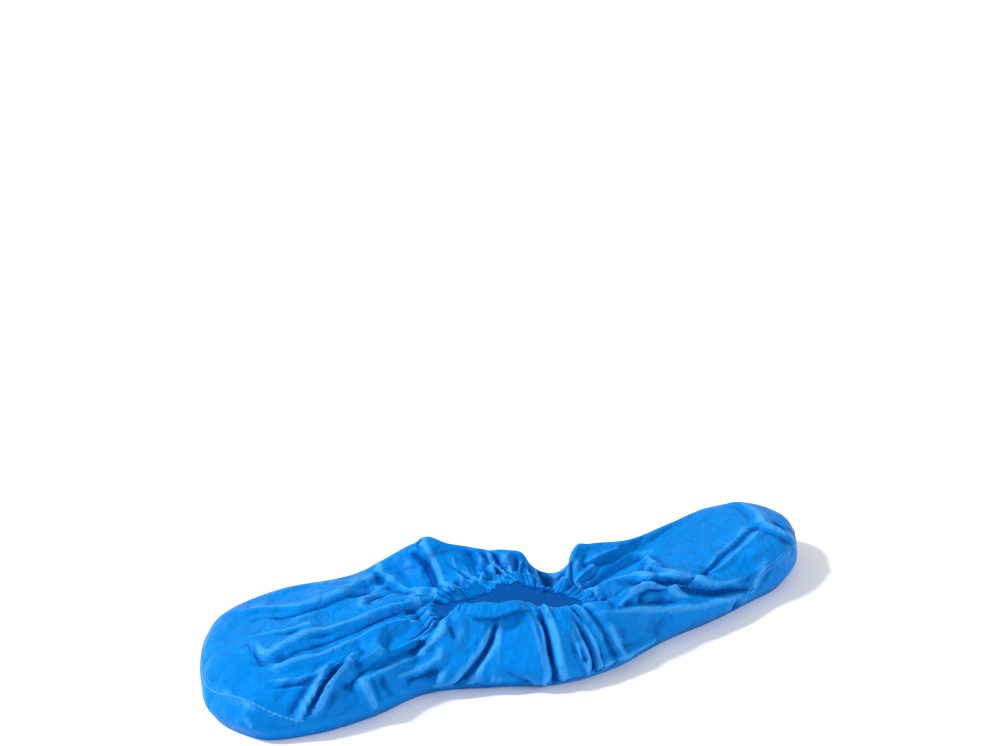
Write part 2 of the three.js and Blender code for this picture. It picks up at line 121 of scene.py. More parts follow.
# Stations round the cover, from the toe tip along the near side to the heel and back. x and y:
# where the wall bulges most. inset: from there in to the crest. crest: its height. crown: how far
# the cloth above it swells. mouth: the spot of the mouth it is gathered to, in degrees.
STATIONS = [
    # at, x, y, inset, crest, crown, mouth
    ("toe tip", -190, 4, 9, 24, 2, -2),
    ("near toe corner", -194, -20, 10, 24, 2, 2),
    ("near toe end", -189, -37, 11, 24, 2, 6),
    ("near toe curve", -175, -55, 11, 24, 2, 10),
    ("near toe side", -148, -62, 12, 24, 2, 18),
    ("near toe waist", -116, -60, 12, 27, 1, 33),
    ("near instep", -80, -51, 11, 29, 2, 52),
    ("near mouth, toe side", -46, -61, 15, 32, 3, 74),
    ("near mouth", -10, -75, 16, 32, 3, 101),
    ("near mouth, heel side", 28, -73, 18, 31, 2, 125),
    ("near heel waist", 70, -59, 16, 31, -1, 142),
    ("near heel side", 112, -50, 12, 26, -2, 153),
    ("near heel dip", 142, -41, 10, 22, 1, 161),
    ("near heel curve", 170, -32, 10, 25, 2, 167),
    ("near heel corner", 196, -12, 10, 27, 2, 174),
    ("heel tip", 210, 16, 10, 28, 2, 181),
    ("far heel corner", 200, 44, 10, 29, 2, 188),
    ("far heel curve", 170, 52, 10, 29, 2, 196),
    ("far heel side", 130, 40, 12, 31, 2, 205),
    ("far heel waist", 94, 32, 18, 33, 0, 215),
    ("far ankle, heel side", 54, 32, 20, 36, 0, 224),
    ("far notch", 38, 31, 27, 27, -2, 234),
    ("far dome, heel side", 22, 42, 32, 41, 0, 242),
    ("far dome", 2, 52, 32, 42, 0, 254),
    ("far saddle", -20, 62, 26, 43, 0, 267),
    ("far peak", -44, 69, 22, 45, 0, 282),
    ("far instep", -82, 67, 10, 28, 2, 304),
    ("far toe side", -128, 72, 9, 25, 2, 324),
    ("far toe curve", -165, 58, 9, 24, 2, 338),
    ("far toe corner", -183, 28, 9, 24, 2, 349),
]

# Folds, each drawn over the cloth through a few places. left and right: how far its slopes reach
# on either hand, going along it. round: percentage of the way round the cover. up: percentage of
# the way from the sole to the mouth. rise: a ridge's height there, or below zero a valley's depth.
FOLDS = [
    # name, left, right, [(round, up, rise)]
    ("far toe ridge", 15, 7, [
        (95.4, 39, 0.6), (95, 49, 2), (94.8, 60, 3), (92.5, 66, 3), (87.5, 57, 2.4), (85, 48, 1.2),
    ]),
    ("across the toe valley", 8, 8, [(85.6, 58, 1.8), (91, 74, 2.2), (96.5, 79, 1.2)]),
    ("far toe valley", 6, 13, [
        (96.6, 47, -0.6), (96.4, 58, -2.4), (95, 66, -3.4), (93, 70, -3.2), (90.5, 71, -1),
    ]),
    ("instep valley", 5, 7, [(90, 78, -2.2), (96, 81, -1.6)]),
    ("long toe ridge", 6, 13, [
        (2, 98, 1.8), (0.9, 92, 2.6), (0.5, 86, 3.4), (0.8, 79, 3.8), (0.8, 72, 3.6),
        (0.9, 65, 3.4), (1.5, 57, 3), (1.7, 51, 2.6), (0.7, 49, 1),
    ]),
    ("thin toe ridge", 4, 6, [(-0.4, 64, 1.4), (-0.5, 60, 1.8), (-0.7, 54, 1.2), (-0.9, 48, 0.6)]),
    ("under the long ridge", 7, 4, [
        (3, 97, -1.2), (2.2, 90, -2.4), (2.2, 81, -2.8), (2.3, 73, -2.6), (2.4, 65, -2.2),
        (2.6, 58, -1.6), (2.7, 52, -0.6),
    ]),
    ("pleat foot", 5, 3, [(0, 47, -0.4), (1.3, 48, -1.2), (2.8, 48, -1.2), (3.3, 50, -0.5)]),
    ("second toe ridge", 5, 10, [
        (2.7, 48, 1.5), (3.3, 50, 2), (3.6, 54, 2.4), (4, 60, 3), (4.2, 68, 3.3), (4.8, 76, 3.3),
        (5.8, 85, 2.8), (9, 88, 1.2),
    ]),
    ("near toe ridge", 4, 7, [(12.8, 60, 0.6), (11, 54, 1.2), (10.1, 50, 1.6), (9.3, 48, 1)]),
    ("near toe valley", 6, 8, [
        (15.2, 34, -1.4), (14.3, 34, -2.2), (13.2, 35, -2.6), (11.8, 36, -2.8), (10.4, 35, -2.6),
        (9.5, 30, -1.4),
    ]),
    ("below the near valley", 9, 4, [(14.8, 29, 0.9), (12.7, 30, 1.3), (11, 30, 1.3), (10.1, 29, 0.6)]),
    ("small toe crease", 6, 3, [(4.7, 40, -0.9), (5.6, 43, -1.6), (7.2, 41, -1.2)]),
    ("above the small crease", 9, 3, [(4.2, 43, 0.6), (5.3, 46, 1.6), (6.5, 49, 1.9), (7, 54, 1.4)]),
    ("first toe crease", 3, 8, [
        (6.5, 51, 2), (7.2, 42, 3.4), (7.4, 32, 3.4), (7.1, 25, 3), (6.9, 19, 1.4),
    ]),
    ("between the creases", 2.5, 2.5, [
        (7.1, 50, -1.2), (7.6, 41, -2.4), (7.7, 31, -2.8), (7.3, 23, -1.6),
    ]),
    ("last toe crease", 9, 3, [
        (6.6, 60, 2.4), (7.9, 49, 3.8), (8.1, 39, 3.8), (7.8, 29, 3.8), (7.4, 22, 2),
    ]),
    ("toe side facet", 7, 9, [(10.3, 29, 1.6), (10.6, 22, 2), (11, 14, 0.8)]),
    ("toe side hollow", 8, 6, [(11.8, 24, -1.2), (12.3, 16, -0.8)]),
    ("toe seam fold", 10, 10, [
        (0.6, 28, 0.9), (2.7, 30, 1.6), (4.2, 28, 1.6), (5.2, 24, 1.6), (6.1, 21, 1.3),
        (6.8, 19, 0.9),
    ]),
    ("toe lobe crease", 3, 4, [(4.6, 18, 1), (4.9, 11, 0.6)]),
    ("peak ridge", 15, 6, [(81.2, 47, 3.4), (81.8, 59, 3.4), (83.4, 77, 3.4), (87, 98, 2.2)]),
    ("beside the peak", 5, 9, [(82.6, 51, -2), (83.2, 67, -2.8), (86.2, 92, -2)]),
    ("far instep ridge", 13, 5, [
        (85.2, 48, 1.6), (86.4, 63, 2.6), (88.2, 78, 2.6), (90.6, 90, 2.4), (94, 98, 1.2),
    ]),
    ("far instep valley", 5, 10, [(85.9, 56, -1.8), (87, 69, -3), (89.7, 85, -2.8), (93.5, 95, -1.8)]),
    ("saddle facet", 6, 8, [(79.7, 61, 1.4), (82.2, 88, 1.4)]),
    ("saddle valley", 5, 7, [(77.4, 56, -2), (78, 71, -3.4), (80.5, 93, -2.6)]),
    ("far pocket", 5, 5, [(76.6, 67, -3.4), (78.6, 90, -4)]),
    ("dome crease", 4, 5, [(75.2, 56, 1.6), (77, 84, 2), (78.4, 100, 1.6)]),
    ("dome hollow", 3, 4, [(74.7, 62, -1), (76.9, 97, -1.6)]),
    ("dome ridge", 14, 8, [(73.4, 54, 1.2), (74, 75, 2), (75.4, 100, 1.6)]),
    ("dome pucker", 3, 3, [(72.1, 61, 1), (74.2, 98, 1.8)]),
    ("dome far hollow", 3, 3, [(71.5, 73, -1.2), (72.3, 99, -1.4)]),
    ("dome far pucker", 5, 3, [(70.8, 82, 1.2), (70, 100, 1.3)]),
    ("dome heel side", 9, 6, [(71.8, 46, 0.6), (71.2, 58, 1.2), (70.8, 76, 1)]),
    ("notch valley", 6, 7, [(69.4, 42, -4), (69.2, 53, -5), (69, 66, -4), (68.2, 92, -2)]),
    ("ankle ridge", 9, 6, [(66.6, 40, 1.6), (66.9, 48, 1.8), (67.2, 60, 2), (66.8, 91, 1.6)]),
    ("ankle hollow", 4, 3, [(66.6, 63, -2), (65.1, 87, -2)]),
    ("ankle fold", 5, 4, [(63.9, 68, 2.2), (64.2, 76, 2.4), (64.3, 86, 1.8)]),
    ("ankle pleat", 5, 4, [(64.9, 63, 1.8), (64.3, 57, 2.2), (63.3, 51, 1.2)]),
    ("ankle pleat hollow", 3, 3, [(63.9, 66, -0.8), (62.9, 61, -1.4), (61.4, 58, -0.6)]),
    ("far ankle valley", 5, 9, [
        (58.4, 95, -2.4), (59.2, 87, -3.6), (58.2, 82, -4.2), (56.9, 78, -4), (55.9, 74, -2.4),
    ]),
    ("near ankle edge", 4, 9, [(52.4, 98, 1.2), (52.8, 91, 2), (51.4, 85, 2.4), (48.4, 80, 2.4)]),
    ("ankle pucker", 4, 4, [(55, 75, 1.2), (51.1, 81, 1.6)]),
    ("ankle pucker, heel side", 4, 4, [(53.6, 77, 1.2), (50, 78, 1.3), (46.6, 71, 1)]),
    ("heel top ridge", 16, 5, [
        (47.9, 80, 2.6), (45.5, 68, 3), (42.5, 50, 3), (40.6, 36, 3), (41.2, 30, 2.6),
        (42.7, 29, 2), (44.9, 31, 1.2),
    ]),
    ("heel groove", 5, 7, [
        (47, 78, -2), (43, 58, -2.6), (39.6, 35, -3.4), (40.6, 27, -3.2), (42.1, 23, -2.4),
        (43.4, 18, -0.8),
    ]),
    ("near heel ridge", 6, 14, [
        (32.5, 34, 1.2), (33.9, 31, 2.6), (36, 27, 3.4), (37.8, 23, 3.4), (39.7, 20, 3.4),
        (41.6, 19, 3), (42.9, 18, 1.6),
    ]),
    ("ankle crease", 3, 8, [(47.2, 82, 2.4), (41.5, 60, 2.6), (36.4, 40, 2.4), (34.6, 34, 1.8)]),
    ("beside the ankle crease", 5, 3, [(45.3, 74, -1.4), (40, 50, -1.6), (36.3, 33, -1)]),
    ("ankle facet", 6, 6, [(46, 94, -1), (45.2, 87, -0.8)]),
    ("heel crease", 7, 2.5, [(50.6, 45, -0.6), (50.1, 51, -1.4), (47.9, 58, -1.8), (44.2, 56, -1)]),
    ("beside the heel crease", 5, 3, [(49.6, 47, 0.6), (47.9, 52, 0.8), (44.8, 54, 0.6)]),
    ("heel edge", 12, 10, [
        (54.4, 39, 0.9), (52.6, 43, 1.6), (50.4, 45, 2), (48.9, 38, 2), (48.3, 26, 0.9),
    ]),
    ("heel end hollow", 4, 4, [(50, 40, -1), (49, 36, -1.3)]),
    ("heel seam fold", 6, 8, [(47.6, 28, 0.9), (45, 29, 1.6), (43.4, 17, 1.2)]),
    ("near instep bump", 6, 6, [(14.7, 31, 2), (15.3, 34, 2.8), (16.1, 44, 1.6)]),
    ("near instep pocket", 4, 4, [(16.5, 42, -1.4), (17, 33, -2.8)]),
    ("near facet ridge", 8, 5, [(13.1, 23, 1.2), (14.6, 23, 2.4), (16.1, 26, 2.8), (17.5, 29, 2)]),
    ("under the near facet", 4, 9, [(13.8, 18, -1.2), (15.6, 19, -1.6), (17.2, 24, -1.6)]),
    ("lip corner ridge", 5, 9, [(17.5, 42, 1.6), (17.5, 26, 2.8), (16.6, 19, 2.4), (15.6, 12, 1.2)]),
    ("near mouth ridge", 4, 10, [
        (19.9, 37, 1.6), (19.4, 29, 2.8), (18.6, 24, 3.2), (17.4, 18, 2.4), (16.5, 12, 1.6),
    ]),
    ("near mouth groove", 6, 4, [
        (20.6, 35, -2.4), (20.1, 29, -4), (19.4, 24, -4.4), (18.3, 17, -4), (17.4, 8, -2.4),
    ]),
    ("lip facet, toe side", 13, 4, [(21, 38, 2.4), (20.8, 28, 3.2), (20.6, 22, 3.2), (20.2, 17, 1.6)]),
    ("lip facet", 10, 10, [(22.5, 30, 2.8), (21.7, 22, 2)]),
    ("lip facet foot", 5, 7, [(19.9, 19, -1.2), (21.5, 16, -1.6), (23.1, 10, -1.6)]),
    ("lip facet, heel side", 3, 16, [
        (24.2, 42, 2.4), (24.4, 31, 3.6), (24.5, 22, 3.6), (24.7, 10, 2.4),
    ]),
    ("near mouth valley", 6, 3, [(25.1, 42, -2.4), (25.5, 32, -4.4), (25.4, 22, -4.8), (25.5, 6, -2.8)]),
    ("near column", 6, 9, [(26.5, 36, 1.2), (26.3, 26, 1.2), (26.2, 18, 0.8), (26.4, 10, 0.4)]),
    ("near hole", 3, 3, [(28.3, 22, -1.6), (28.4, 18, -3.2)]),
    ("cleft, toe side", 9, 3, [(27.6, 36, 0.8), (27.9, 28, 1.4), (28.2, 20, 2), (28.4, 13, 1.2)]),
    ("near cleft", 3, 4, [(28.8, 37, -1.4), (29.3, 29, -3), (29.4, 21, -4), (29.3, 10, -2.4)]),
    ("cleft, heel side", 3, 15, [(29.6, 35, 1.2), (29.9, 27, 2.4), (29.9, 20, 2.6), (29.7, 12, 1.4)]),
    ("near heel wall", 10, 8, [(32.2, 25, 2.4), (32.1, 20, 2.4), (32.3, 14, 1.2)]),
    ("near lower edge", 6, 4, [(30, 13, 1.2), (31.6, 13, 1.6), (33.5, 13, 1.6), (35.4, 12, 1.2)]),
    ("sole edge tuck", 4, 3, [
        (25.8, 3, -1.6), (28.6, 3, -2.4), (31.4, 3, -2.4), (34.1, 4, -2), (36.2, 3, -1.2),
    ]),
    ("heel base kink", 5, 5, [(41.9, 13, -1.4), (42.5, 3, -2.2)]),
]
FOLD_SHARPNESS = 1.6  # at 1 a fold's slopes are straight, and above it they draw up to an edge
# How high the folds stand round the cover, as a multiple of the rises in the table
FOLD_HEIGHTS = [(0, 1.0), (5, 1.0), (8, 1.5), (82, 1.5), (86, 1.1), (93, 0.9), (100, 1.0)]
FOLD_REACH = 0.85  # share of the table's left and right that the slopes are given
FOLD_STEPS = 8  # straight stretches between two places of a fold
FOLD_START = 1.0  # distances from the mouth's edge, where folds begin and where they are full
FOLD_FULL = 10.0
LIFT_LIMIT = 5.0  # how far crossing folds can pile up

# How far up the wall, as a share, the crumpled cloth starts. On the far side it hangs smooth up
# to its crest.
CRUMPLED_FROM = [(0, 0.3), (4, 0.05), (38, 0.05), (50, 0.35), (62, 0.45), (88, 0.45), (100, 0.3)]
CRUMPLED_WITHIN = 0.15  # how much further up it is crumpled in full
# How crumpled the cloth is round the cover: the heel's top and the toe's end lie flatter.
CRUMPLING = [
    # round, share
    (0, 0.45), (7, 0.7), (14, 1), (30, 1), (35, 0.6), (39, 0.25), (55, 0.25), (60, 0.6), (66, 1),
    (80, 1), (86, 0.7), (94, 0.5), (100, 0.45),
]
CRUMPLE_SIZES = [(34.0, 7.0), (16.0, 3.2), (8.0, 1.2)]  # how wide the facets are, and how high
DEEPEST_DENT = -2.2  # the facets dent the cloth no further in than this

COLUMNS = 536  # of the cloth's mesh, round the cover
ROWS = 90  # from the sole to the mouth
# How closely the columns stand round the cover
CLOSENESS = [(0, 1.0), (33, 1.1), (38, 0.65), (57, 0.65), (62, 1.2), (80, 1.2), (86, 1.0), (100, 1.0)]
HEADING_STEP = 0.5 / 120  # half a column of the CAD model's wall, to take the outline's heading
SHARP_CREASE = 16.0  # bends of more degrees than this between two strips of the mesh show as edges
WELD_GAP = 1e-7  # in metres: corners of a mesh that lie closer than this are one
NEXT_TO_NOTHING = 1e-9


def from_table(table, at):
    """What a table of places and values says, in between its rows too."""
    return np.interp(at, *np.array(table, float).T)


def curve_through(knots, rows, at, column=None):
    """Places on the smooth curves through rows of values, each row at its own knot."""
    gaps = np.diff(knots).reshape((-1,) + (1,) * (rows.ndim - 1))
    chords = np.diff(rows, axis=0) / gaps
    slopes = np.concatenate([chords[:1], (chords[1:] + chords[:-1]) / 2, chords[-1:]])
    below = np.clip(np.searchsorted(knots, at, side="right") - 1, 0, len(knots) - 2)
    low = below if column is None else (below, column)
    high = below + 1 if column is None else (below + 1, column)
    width = knots[below + 1] - knots[below]
    t = ((at - knots[below]) / width)[..., None]
    width = width[..., None]
    return (
        (2 * t**3 - 3 * t**2 + 1) * rows[low]
        + (t**3 - 2 * t**2 + t) * width * slopes[low]
        + (3 * t**2 - 2 * t**3) * rows[high]
        + (t**3 - t**2) * width * slopes[high]
    )


def unit(vectors):
    return vectors / np.maximum(np.linalg.norm(vectors, axis=-1, keepdims=True), NEXT_TO_NOTHING)


def smooth_rise(value, start, end):
    """A smooth climb from 0 at the start to 1 at the end."""
    t = np.clip((value - start) / (end - start), 0.0, 1.0)
    return t * t * (3 - 2 * t)


def mouth_point(degrees):
    """The mouth is a slanting ellipse with a wavy edge, drawn in by the elastic."""
    angle = np.radians(degrees)
    waves = np.array(MOUTH_WAVES, float)
    rise, out = curve_through(waves[:, 0], waves[:, 1:], degrees % 360).T
    x = -(MOUTH_HALF[0] + out) * np.cos(angle)
    y = -(MOUTH_HALF[1] + out) * np.sin(angle)
    height = MOUTH_HEIGHT + TOE_END_RISE * np.cos(angle) + NEAR_SIDE_RISE * np.sin(angle)
    height = height - CORNER_DIP * np.cos(2 * angle) + rise
    turned_x = x * math.cos(MOUTH_TURN) - y * math.sin(MOUTH_TURN)
    turned_y = x * math.sin(MOUTH_TURN) + y * math.cos(MOUTH_TURN)
    return np.stack([MOUTH_CENTRE[0] + turned_x, MOUTH_CENTRE[1] + turned_y, height], axis=-1)


station_rows = np.array([row[1:] for row in STATIONS], float)
next_rows = np.roll(station_rows, -1, axis=0)
outline_steps = np.hypot(*(next_rows - station_rows)[:, :2].T)
mouth_steps = np.linalg.norm(mouth_point(next_rows[:, 5]) - mouth_point(station_rows[:, 5]), axis=1)
station_ends = np.cumsum(outline_steps + MOUTH_SHARE * mouth_steps)
one_lap = station_ends[-1]
station_knots = np.concatenate([[0.0], station_ends[:-1]]) / one_lap
a_lap_on = np.array([0, 0, 0, 0, 0, 360.0])
lapped_knots = np.concatenate([station_knots[-2:] - 1, station_knots, station_knots[:3] + 1])
lapped_rows = np.concatenate([station_rows[-2:] - a_lap_on, station_rows, station_rows[:3] + a_lap_on])

even_rounds = np.linspace(0.0, 1.0, 4 * COLUMNS + 1)
passed = np.cumsum(from_table(CLOSENESS, even_rounds * 100))
rounds = np.interp(np.linspace(passed[0], passed[-1], COLUMNS + 1)[:-1], passed, even_rounds)
stations = curve_through(lapped_knots, lapped_rows, rounds)
bulge_x, bulge_y, inset, crest_height, crown, mouth_degrees = stations.T
ahead = curve_through(lapped_knots, lapped_rows, rounds + HEADING_STEP)
behind = curve_through(lapped_knots, lapped_rows, rounds - HEADING_STEP)
heading = unit((ahead - behind)[:, :2])
inward = np.column_stack([-heading[:, 1], heading[:, 0], np.zeros(COLUMNS)])

bulge = np.column_stack([bulge_x, bulge_y, np.full(COLUMNS, BULGE_HEIGHT)])
mouth = mouth_point(mouth_degrees)
towards_mouth = unit((mouth - bulge) * (1, 1, 0))
sole = (bulge + SOLE_INSET * inward) * (1, 1, 0)
crest = bulge + inset[:, None] * unit(inward + towards_mouth)
crest[:, 2] = crest_height
middle = (crest + mouth) / 2
middle[:, 2] += crown

# The wall is ruled through the five levels in each column. Its last stretch says how many
# millimetres a share of the way up is worth at the mouth, and so how far off the mouth's edge is.
ups = np.linspace(0.0, 1.0, ROWS)[:, None] * np.ones(COLUMNS)
wall = curve_through(LEVELS, np.stack([sole, bulge, crest, middle, mouth]), ups, np.arange(COLUMNS))
stretch = np.linalg.norm(middle - mouth, axis=1) / (LEVELS[4] - LEVELS[3])
to_mouth = (1 - ups) * stretch


def grid_normals(grid):
    """The way out of the cloth at each place of its grid."""
    along = np.roll(grid, -1, axis=1) - np.roll(grid, 1, axis=1)
    upward = np.gradient(grid, axis=0)
    return unit(np.cross(along, upward))


def on_cloth(grid, round_share, up_share):
    """Places on a grid of cloth, in between its columns and rows too."""
    column = np.interp(round_share % 1.0, np.append(rounds, 1.0), np.arange(COLUMNS + 1))
    row = up_share * (ROWS - 1)
    i = np.floor(column).astype(int) % COLUMNS
    j = np.clip(np.floor(row).astype(int), 0, ROWS - 2)
    across = (column - np.floor(column))[:, None]
    upward = (row - j)[:, None]
    low = grid[j, i] * (1 - across) + grid[j, (i + 1) % COLUMNS] * across
    high = grid[j + 1, i] * (1 - across) + grid[j + 1, (i + 1) % COLUMNS] * across
    return low * (1 - upward) + high * upward


def fold_lift(grid, normals, left, right, path):
    """How far one fold lifts the cloth at each place of the grid."""
    rows = np.array(path, float)
    last = len(rows) - 1
    knots = np.arange(len(rows), dtype=float)
    traced = curve_through(knots, rows, np.linspace(0, last, last * FOLD_STEPS + 1))
    line = on_cloth(grid, traced[:, 0] / 100, np.clip(traced[:, 1] / 100, 0, 1))
    rises = traced[:, 2]
    reach = max(left, right)
    close = ((grid > line.min(0) - reach) & (grid < line.max(0) + reach)).all(-1)
    places = grid[close]
    out = normals[close]
    nearest = np.full(len(places), np.inf)
    found = np.zeros(len(places))
    for start, end, rise_start, rise_end in zip(line[:-1], line[1:], rises[:-1], rises[1:]):
        run = end - start
        share = np.clip(((places - start) @ run) / max(run @ run, NEXT_TO_NOTHING), 0.0, 1.0)
        offset = places - start - share[:, None] * run
        distance = np.linalg.norm(offset, axis=1)
        on_left = (np.cross(run, offset) * out).sum(-1) > 0
        slope = np.clip(1 - distance / np.where(on_left, left, right), 0.0, 1.0)
        height = (rise_start + share * (rise_end - rise_start)) * slope**FOLD_SHARPNESS
        closer = distance < nearest
        nearest = np.where(closer, distance, nearest)
        found = np.where(closer, height, found)
    lift = np.zeros(grid.shape[:2])
    lift[close] = found
    return lift


# The facets' grid is turned, so that no row of them runs along the cover or across it.
CRUMPLE_TURN = np.array([[0.8, -0.36, 0.48], [0.6, 0.48, -0.64], [0.0, 0.8, 0.6]])
CRUMPLE_WARP = 0.35  # how far, in shares of a facet, the facets' edges wander from straight lines
CRUMPLE_BENDS = 1.7  # radians of that wandering to the width of a facet
CRUMPLE_SEED = 7
CRUMPLE_CELLS = 32  # on each side of the grid, before its heights repeat
CORNER_HEIGHTS = np.random.RandomState(CRUMPLE_SEED).uniform(-1.0, 1.0, (CRUMPLE_CELLS,) * 3)


def facet_heights(spots):
    """Random heights at the corners of a grid of tetrahedra, with flat facets between them."""
    cell = np.floor(spots).astype(int)
    part = spots - cell
    order = np.argsort(-part, axis=1)
    steps = np.eye(3, dtype=int)[order].cumsum(axis=1)
    corners = np.concatenate([cell[:, None, :], cell[:, None, :] + steps], axis=1) % CRUMPLE_CELLS
    most, next_most, least = np.take_along_axis(part, order, axis=1).T
    shares = np.column_stack([1 - most, most - next_most, next_most - least, least])
    return (CORNER_HEIGHTS[corners[..., 0], corners[..., 1], corners[..., 2]] * shares).sum(1)


def crumple_lift(grid, sizes):
    """Flat facets with sharp edges that crumpled cloth breaks into."""
    lift = np.zeros(grid.shape[:2])
    for size, height in sizes:
        spots = grid.reshape(-1, 3) @ CRUMPLE_TURN / size + size
        spots = spots + CRUMPLE_WARP * np.sin(CRUMPLE_BENDS * np.roll(spots, 1, axis=1))
        lift += height * facet_heights(spots).reshape(lift.shape)
    return lift


# Gathers that the elastic draws into the cloth, in three tiers, finest at the mouth's edge. count:
# how many go round the mouth. depth: their height. start, full and end: how far down the wall they
# begin, are deepest and have died away, where a start below zero lies past the mouth's edge.
GATHERS = [
    # count, depth, start, full, end
    (88, 0.6, -9, 0, 11),
    (43, 1.1, -5, 5, 24),
    (21, 2.0, -8, 12, 38),
]
GATHER_DRIFT = 0.9  # how far the gathers stray from an even spacing, as a share of one of them
DRIFT_WAVES = 12  # how many waves that straying has round the mouth, at most
DRIFT_SEED = 10
LEAST_DEPTH = 0.15  # how deep single gathers are, as shares of their tier's depth
MEAN_DEPTH = 0.75
MOST_DEPTH = 1.6
DEPTH_SPREAD = 0.4
DEPTH_WAVES = 15
DEPTH_SEED = 20
PUCKERS = [(8.0, 3.2), (4.0, 1.4)]  # how wide the puckers between the gathers are, and how high
PUCKER_REACH = [(0, 0.35), (3, 1), (9, 1), (20, 0)]  # distance from the mouth's edge, share
# How tightly the cloth is gathered round the mouth, from its toe end along the near side.
GATHERING = [
    # degrees, tightness
    (0, 1.0), (40, 1.0), (54, 0.5), (62, 0.12), (94, 0.12), (104, 0.6), (120, 0.9), (180, 1.1),
    (230, 1.3), (300, 1.2), (360, 1.0),
]


def wander(share, seed, waves):
    """A wavering between about -1 and 1, of waves with random heights, that closes after a lap."""
    draw = np.random.RandomState(seed)
    total = sum(
        draw.uniform(0.4, 1.0) * np.sin(2 * math.pi * (k * share + draw.uniform()))
        for k in range(1, waves + 1)
    )
    return total / math.sqrt(waves)


def gather_lift(share, distance, degrees):
    """How far the gathers lift the cloth, at a share round the mouth and a distance from its edge."""
    lift = np.zeros(np.broadcast(share, distance).shape)
    for tier, (count, depth, start, full, end) in enumerate(GATHERS):
        drift = GATHER_DRIFT * wander(share, DRIFT_SEED + tier, DRIFT_WAVES)
        swing = 2 * np.abs(np.cos(math.pi * (count * share + drift))) - 1
        uneven = MEAN_DEPTH + DEPTH_SPREAD * wander(share, DEPTH_SEED + tier, DEPTH_WAVES)
        uneven = np.clip(uneven, LEAST_DEPTH, MOST_DEPTH)
        fade = smooth_rise(distance, start, full) * (1 - smooth_rise(distance, full, end))
        lift = lift + depth * swing * uneven * fade
    return lift * from_table(GATHERING, degrees % 360)


def ring_shares(ring):
    """The share of a lap that each point of a closed ring lies at, by length."""
    steps = np.linalg.norm(np.roll(ring, -1, axis=0) - ring, axis=1)
    return np.concatenate([[0.0], np.cumsum(steps)[:-1]]) / steps.sum()


wall_normals = grid_normals(wall)
folds = np.zeros(ups.shape)
for _, left, right, path in FOLDS:
    folds += fold_lift(wall, wall_normals, FOLD_REACH * left, FOLD_REACH * right, path)
folds *= from_table(FOLD_HEIGHTS, rounds * 100)
crumpled_from = from_table(CRUMPLED_FROM, rounds * 100)
crumpling = from_table(CRUMPLING, rounds * 100)
crumpling = crumpling * smooth_rise(ups, crumpled_from, crumpled_from + CRUMPLED_WITHIN)
crumples = np.maximum(crumpling * crumple_lift(wall, CRUMPLE_SIZES), DEEPEST_DENT)
piled_up = LIFT_LIMIT * np.tanh((folds + crumples) / LIFT_LIMIT)
lift = piled_up * smooth_rise(to_mouth, FOLD_START, FOLD_FULL)
lift += gather_lift(ring_shares(mouth), to_mouth, mouth_degrees)
puckering = from_table(GATHERING, mouth_degrees % 360) * from_table(PUCKER_REACH, to_mouth)
lift += puckering * crumple_lift(wall, PUCKERS)

# The sole's edge stays flat, and above it no fold falls through the floor.
lift[0] = 0.0
folded_wall = wall + lift[..., None] * wall_normals
folded_wall[..., 2] = np.maximum(folded_wall[..., 2], CLOTH * (ups > 0))

# Painted light: where the cloth stands out of the cloth round it along a ridge, its colour is painted
# paler as a highlight, and in the hollows it is painted deeper as shade. Each place's crease value says
# how far it stands out of the cloth round it.
CREASE_WINDOW = (2, 3)  # rows and columns on either side that count as the cloth round a place
CRUMPLES_LEFT_UNPAINTED = 0.5  # share of the crumpled facets' lift that is left out of the crease values
CREASE_FULL = 0.6  # how far in millimetres makes a ridge's painted highlight or a hollow's painted shade full


def blurred(grid, half_rows, half_columns):
    """The mean of a grid over a window round each place. The grid closes round the cover."""
    total = sum(np.roll(grid, shift, axis=1) for shift in range(-half_columns, half_columns + 1))
    grid = total / (2 * half_columns + 1)
    padded = np.pad(grid, ((half_rows, half_rows), (0, 0)), mode="edge")
    return sum(padded[k : k + len(grid)] for k in range(2 * half_rows + 1)) / (2 * half_rows + 1)


creased_lift = lift - CRUMPLES_LEFT_UNPAINTED * crumples
stands_out = creased_lift - blurred(creased_lift, *CREASE_WINDOW)
crease_values = np.clip(stands_out / CREASE_FULL, -1.0, 1.0)


def grid_piece(name, places):
    """A surface on a grid of places in millimetres. Rows or columns that coincide are welded."""
    bpy.ops.object.select_all(action="DESELECT")
    rows, columns = places.shape[:2]
    bpy.ops.mesh.primitive_grid_add(x_subdivisions=columns - 1, y_subdivisions=rows - 1)
    piece = bpy.context.object
    piece.name = name
    piece.data.vertices.foreach_set("co", (places * MM).ravel())
    number = piece.data.attributes.new("number", "INT", "POINT")
    number.data.foreach_set("value", np.arange(rows * columns))
    bpy.ops.object.mode_set(mode="EDIT")
    bpy.ops.mesh.select_all(action="SELECT")
    bpy.ops.mesh.remove_doubles(threshold=WELD_GAP)
    bpy.ops.mesh.normals_make_consistent(inside=False)
    bpy.ops.object.mode_set(mode="OBJECT")
    bpy.ops.object.shade_smooth()
    return piece


def closed_on_itself(grid):
    """A grid with its first column once more at its end."""
    return np.concatenate([grid, grid[:, :1]], axis=1)


def vertex_numbers(piece):
    """Which place of its grid each corner of the welded mesh is."""
    numbers = np.empty(len(piece.data.vertices), dtype=np.int32)
    piece.data.attributes["number"].data.foreach_get("value", numbers)
    return numbers


def finish_in(piece, *finishes):
    """The piece's materials, in the order of its slots."""
    piece.data.materials.clear()
    for finish in finishes:
        piece.data.materials.append(finish)


cloth_face = folded_wall - MIDDLE
pouch = grid_piece("gathered_pouch", closed_on_itself(cloth_face))
bpy.ops.object.shade_smooth_by_angle(angle=math.radians(SHARP_CREASE))

# The crease values go on the pouch as an attribute, which the cloth's colour reads for its painted
# highlights and painted shade
painted_light_crease_attribute = pouch.data.attributes.new("crease", "FLOAT", "POINT")
painted_light_crease_attribute.data.foreach_set("value", closed_on_itself(crease_values).ravel()[vertex_numbers(pouch)])

